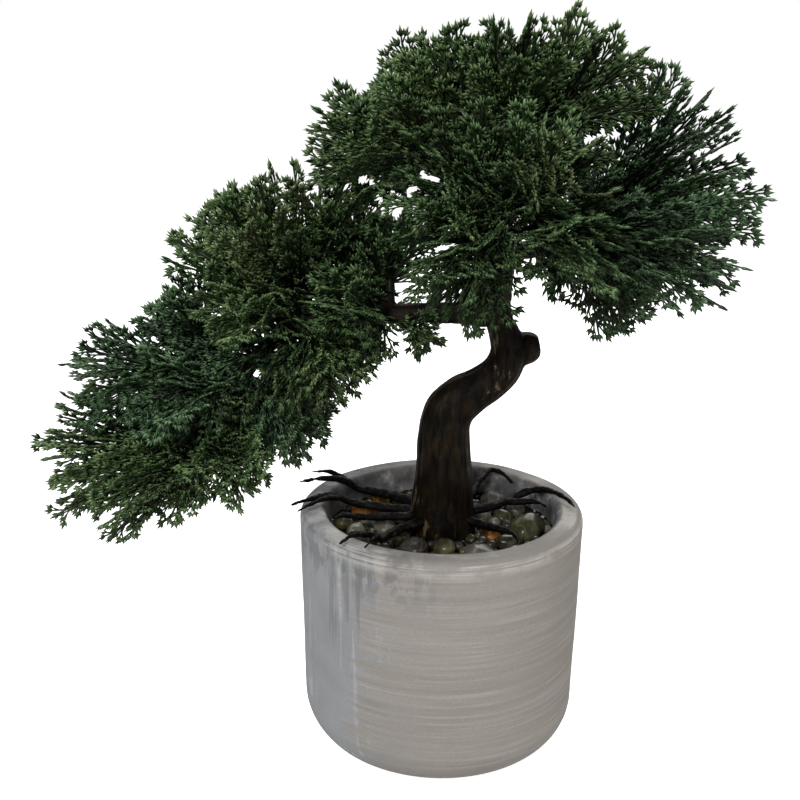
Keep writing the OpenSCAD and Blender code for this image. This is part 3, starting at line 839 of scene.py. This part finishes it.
class Growth:
    """Twigs and tips of one spray, gathered in its own axes: X outwards, millimetres."""

    def __init__(self, rng):
        self.rng = rng
        self.twigs = []
        self.tips = []

    def twig(self, start, end, r0, r1, tone0, tone1):
        self.twigs.append((start, end, r0, r1, tone0, tone1))

    def tip(self, at, d, normal, size, tone):
        self.tips.append((at, d, normal, size, tone))

    def shoot(self, start, d, normal, length, radius, tone, level):
        """A side shoot: a nearly straight twig that ends in a tip, with smaller ones on either side of it."""
        rng = self.rng
        end = start + rotated(d, normal, rng.uniform(-0.10, 0.10)) * length
        ahead = unit(end - start)
        self.twig(start, end, radius, radius * 0.84, tone, tone + 0.06)
        if level > 0:
            side = 1 if rng.random() < 0.5 else -1
            for at, way in ((0.38, side), (0.70, -side)) if length > 6.5 else ((0.52, side),):
                lean = rotated(ahead, normal, way * rng.uniform(0.40, 0.56))
                flat = rotated(normal, ahead, rng.uniform(-0.4, 0.4))
                short = rng.uniform(1.2, 2.2) + 0.16 * length
                foot = start + (end - start) * at
                self.shoot(foot, lean, flat, short, radius * 0.9, tone + 0.04, level - 1)
        self.tip(end - ahead * 0.6, ahead, normal, rng.uniform(0.85, 1.15),
                 min(1.0, tone + rng.uniform(0.0, 0.22)))

    def stem(self, a, b, reach, neck, hang, tone):
        """One stem from the neck, at angles a sideways and b up, with side shoots by turns and a tip."""
        rng = self.rng
        curl = rng.uniform(-0.05, 0.05)
        points = []
        for i in range(STEM_ROWS + 1):
            t = i / STEM_ROWS
            spread = t ** 1.22
            x = neck - 1.0 + reach * t * math.cos(0.85 * math.hypot(a, b))
            y = reach * (math.sin(a) * spread + curl * math.sin(2.6 * t))
            z = reach * math.sin(b) * spread
            points.append(np.array([x, y, z]) + hang * (reach * 0.06 * t * t))
        normal = unit(np.array([0.0, -math.sin(b) * 1.2 + rng.uniform(-0.35, 0.35), 1.0]))
        if rng.random() < 0.35:
            normal = rotated(normal, np.array([1.0, 0, 0]), rng.uniform(0.5, 1.4))
        side = 1 if rng.random() < 0.5 else -1
        due = rng.uniform(0.05, 0.14)
        for i in range(STEM_ROWS):
            t0, t1 = i / STEM_ROWS, (i + 1) / STEM_ROWS
            p0, p1 = points[i], points[i + 1]
            d = unit(p1 - p0)
            # the tone rises from the neck outwards: the foliage paint turns low tones into painted shade and
            # high ones towards painted highlight
            self.twig(p0, p1, STEM_RADIUS - STEM_TAPER * t0, STEM_RADIUS - STEM_TAPER * t1,
                      tone * (0.5 + 0.5 * t0), tone * (0.5 + 0.5 * t1))
            while due < t1 and due < 0.96:
                at = p0 + (p1 - p0) * (due - t0) / (t1 - t0)
                swell = math.sin(math.pi * min(1.0, 0.26 + 0.70 * due))
                size = 4.0 + 7.2 * swell * rng.uniform(0.7, 1.15)
                flat = rotated(normal, d, rng.uniform(-0.45, 0.45))
                lean = rotated(d, flat, side * rng.uniform(0.38, 0.54))
                self.shoot(at, lean, flat, size, SHOOT_RADIUS, tone * (0.7 + 0.4 * due), 1)
                side = -side
                due += SHOOT_GAP / reach * rng.uniform(0.8, 1.25)
        self.tip(points[-1] - d * 0.6, d, normal, rng.uniform(1.0, 1.25), min(1.0, tone + 0.2))

    def spray(self, length, wide, narrow, stems, hang, neck=NECK):
        """A moulded spray: stems that leave one neck nearly side by side and curve apart up to the rim."""
        rng = self.rng
        short = stems // 2
        for j in range(stems + short):
            angle = j * GOLDEN_TURN + rng.uniform(-0.25, 0.25)
            if j < stems:
                u = math.sqrt((j + 0.35) / stems)
                reach = (length - neck - TIP_ROOM) * (1 - 0.07 * u * u) * rng.uniform(0.91, 1.04)
            else:
                # short ones that splay wide and hide the neck
                u = 1.45 + 0.35 * (j - stems) / short
                reach = (length - neck - TIP_ROOM) * rng.uniform(0.40, 0.55)
            tone = rng.uniform(0.22, 0.55)
            self.stem(wide * u * math.cos(angle), narrow * u * math.sin(angle), reach, neck, hang, tone)

    def mesh(self):
        """Vertices in metres, faces and tones."""
        start, end, r0, r1 = (np.array([twig[column] for twig in self.twigs]) * MM for column in range(4))
        twigs, ring = prisms(start, end + unit(end - start) * 0.15 * MM, r0, r1)
        per = twigs.shape[1]
        faces = (ring[None] + (np.arange(len(twigs)) * per)[:, None, None]).reshape(-1, 4).tolist()
        twig_tones = np.repeat(np.array([twig[4:] for twig in self.twigs]), per // 2, axis=1)
        at, d, flat, size, own_tone = (np.array([tip[column] for tip in self.tips]) for column in range(5))
        d = unit(d)
        side = unit(np.cross(unit(flat), d))
        flat = np.cross(d, side)
        local = TIP_VERTS[None] * size[:, None, None]
        tips = (at * MM)[:, None] + local[..., 0:1] * d[:, None]
        tips = tips + local[..., 1:2] * side[:, None] + local[..., 2:3] * flat[:, None]
        base = len(twigs) * per
        for k in range(len(tips)):
            faces += [tuple(i + base + k * len(TIP_VERTS) for i in face) for face in TIP_FACES]
        # each tip's tone rises towards its point, for more painted highlight there
        fade = 0.16 * TIP_VERTS[:, 0] / TIP_VERTS[:, 0].max()
        tip_tones = np.clip(own_tone[:, None] + fade[None], 0, 1)
        return (np.concatenate([twigs.reshape(-1, 3), tips.reshape(-1, 3)]), faces,
                np.concatenate([twig_tones.ravel(), tip_tones.ravel()]))


def socket_mesh():
    """The cup that pushes over the twig's peg, along X, in metres."""
    shape = [(0.0, 0.72), (0.06, 1.0), (0.16, 1.02), (0.22, 0.90), (0.70, 0.84), (1.0, 0.62), (1.25, 0.40)]
    points = [(SOCKET_FROM + along * SOCKET_LENGTH, 0, 0) for along, _ in shape]
    return tube(points, [SOCKET_RADIUS * girth for _, girth in shape], 10)


def spray_shapes(limb, number, fork, spray):
    """One spray and its socket, in place on the limb, each as vertices, faces and tones."""
    az, el, length, roll = spray
    turn = np.array(Matrix.Rotation(math.radians(az), 3, "Z") @ Matrix.Rotation(math.radians(-el), 3, "Y")
                    @ Matrix.Rotation(math.radians(roll), 3, "X"))
    growth = Growth(random.Random(f"spray_{limb}_{number}"))
    infill = number > OWN_NODE[limb]
    # how far its stems spread, sideways and up, in degrees
    wide, narrow = (46, 38) if infill else (36, 28)
    # longer sprays have more stems, to keep their rim closed
    stems = 10 + round(max(0, length - 48) / 4 + max(0, length - 76) / 2) + 3 * infill
    growth.spray(length, math.radians(wide), math.radians(narrow), stems, turn.T @ np.array([0.0, 0.0, -1.0]))
    cup, cup_faces = socket_mesh()
    # the cup, deep inside the spray, gets a low tone: painted shade
    shapes = [growth.mesh(), (cup, cup_faces, np.full(len(cup), 0.05))]
    return [(verts @ turn.T + np.array(fork) * MM, faces, tones) for verts, faces, tones in shapes]


def sprigs(limb):
    """Short sprigs all round the left bough, between the fork before this limb's and its own."""
    line = smooth_line([FORKS[name][0] for name in BOUGH_FORKS], SPRIGS * (len(BOUGH_FORKS) - 1))
    first = (BOUGH_FORKS.index(limb) - 1) * SPRIGS
    rng = random.Random("sprigs_" + limb)
    shapes = []
    for k in range(SPRIGS):
        at, ahead = line[first + k], unit(line[first + k + 1] - line[first + k])
        out = rotated(across(ahead[None])[0], ahead, k * GOLDEN_TURN)
        d = unit(out + 0.45 * ahead)
        side = across(d[None])[0]
        turn = np.stack([d, side, np.cross(d, side)], axis=1)
        growth = Growth(rng)
        growth.spray(rng.uniform(21, 27), math.radians(46), math.radians(38), 4,
                     turn.T @ np.array([0.0, 0.0, -1.0]), neck=3.0)
        verts, faces, tones = growth.mesh()
        shapes.append((verts @ turn.T + at * MM, faces, tones))
    return shapes


# Each foliage slot's material and its colours: painted shade deep inside, green on top, and painted highlight
# on upward faces
LEAVES = {
    "foliage_deep": ("leaf_deep", (0.0011, 0.0025, 0.0007), (0.020, 0.045, 0.012), (0.305, 0.450, 0.205)),
    "foliage_mid": ("leaf_green", (0.0012, 0.0027, 0.0008), (0.025, 0.053, 0.014), (0.345, 0.490, 0.220)),
    "foliage_blue": ("leaf_blue", (0.0012, 0.0027, 0.0010), (0.020, 0.048, 0.017), (0.300, 0.455, 0.255)),
}
# The limbs whose foliage isn't the middle green
SLOTS = {"right": "foliage_blue", "far": "foliage_blue", "front": "foliage_deep", "back": "foliage_deep",
         "near": "foliage_deep"}


def build_foliage():
    """Each limb's sprays: one piece for each CAD node, so the infill sprays of a limb make one together."""
    paints = {slot: foliage_paint(*leaf) for slot, leaf in LEAVES.items()}
    for limb, (fork, sprays) in FORKS.items():
        pieces = {}
        for number, spray in enumerate(sprays, 1):
            part = "infill" if number > OWN_NODE[limb] else str(number)
            pieces.setdefault(part, []).extend(spray_shapes(limb, number, fork, spray))
        if limb in BOUGH_FORKS[1:]:
            pieces["infill"] += sprigs(limb)
        slot = SLOTS.get(limb, "foliage_mid")
        for part, shapes in pieces.items():
            node = f"infill_{limb}" if part == "infill" else f"spray_{limb}_{part}"
            verts, faces = joined([shape[:2] for shape in shapes])
            tones = np.concatenate([shape[2] for shape in shapes])
            foliage = make_piece(f"foliage_{limb}_{part}", verts, faces, BODY[limb], node, tones)
            wear(foliage, paints[slot])


# ---- stage ----


def build_floor():
    """A pale floor that glows a little to the camera, so that it stays near white."""
    size = 6.0
    mesh = bpy.data.meshes.new("floor")
    mesh.from_pydata([(-size, -size, 0), (size, -size, 0), (size, size, 0), (-size, size, 0)], [],
                     [(0, 1, 2, 3)])
    floor = link("floor", mesh)
    paint = Paint("pale_floor", 0.9)
    paint.color(paint.ramp(paint.noise(3.0, 2.0), [(0.3, (0.90, 0.90, 0.895)), (0.7, (0.93, 0.93, 0.925))]))
    seen = paint.add("ShaderNodeLightPath").outputs["Is Camera Ray"]
    paint.put(paint.surface.inputs["Emission Color"], (1.0, 1.0, 1.0, 1.0))
    paint.put(paint.surface.inputs["Emission Strength"], paint.times(seen, 0.80))
    mesh.materials.append(paint.material)


def build_world():
    """A white surround: full white to the camera, dimmer as a light."""
    world = bpy.data.worlds.new("studio")
    bpy.context.scene.world = world
    world.use_nodes = True
    tree = world.node_tree
    sky = tree.nodes["Background"]
    sky.inputs["Color"].default_value = (1.0, 1.0, 1.0, 1.0)
    ray = tree.nodes.new("ShaderNodeLightPath")
    level = tree.nodes.new("ShaderNodeMapRange")
    tree.links.new(ray.outputs["Is Camera Ray"], level.inputs["Value"])
    level.inputs["To Min"].default_value = 0.32
    level.inputs["To Max"].default_value = 1.0
    tree.links.new(level.outputs["Result"], sky.inputs["Strength"])


def panel(name, at, power, width, color):
    """A square soft light that faces the middle of the tree."""
    light = bpy.data.lights.new(name, "AREA")
    light.shape = "RECTANGLE"
    light.size = light.size_y = width
    light.energy = power
    light.color = color
    obj = link(name, light)
    obj.location = at
    obj.rotation_euler = (Vector((-0.02, 0.0, 0.16)) - Vector(at)).to_track_quat("-Z", "Y").to_euler()


def build_camera():
    """The photograph's view: from the front, a little above, with a slight roll."""
    target = Vector((-0.018, 0.0, 0.1516))
    distance, elevation, roll = 0.48, math.radians(16.71), math.radians(0.55)
    camera = bpy.data.cameras.new("camera")
    camera.sensor_width = 36.0
    camera.lens = 52.2
    camera.clip_start = 0.01
    obj = link("camera", camera)
    back = Vector((0, -math.cos(elevation), math.sin(elevation)))
    obj.location = target + back * distance
    turn = (-back).to_track_quat("-Z", "Y").to_matrix().to_4x4() @ Matrix.Rotation(roll, 4, "Z")
    obj.rotation_euler = turn.to_euler()
    bpy.context.scene.camera = obj


build_pot()
build_pad()
build_bed()
build_pebbles()
build_trunk()
build_limbs()
build_foliage()
# hidden parts that keep their CAD shape
wear(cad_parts["foam_core"], foam_paint())
wear(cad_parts["trunk_rod"], steel_paint())
build_floor()
build_world()
panel("key", (-0.40, -1.05, 0.90), 17.0, 0.5, (0.97, 0.985, 1.0))
panel("fill", (0.95, -0.75, 0.60), 5.0, 0.7, (1.0, 0.96, 0.90))
panel("back", (0.25, 0.95, 0.9), 8.0, 0.7, (1.0, 1.0, 1.0))
build_camera()
bpy.context.scene.view_settings.view_transform = "Standard"
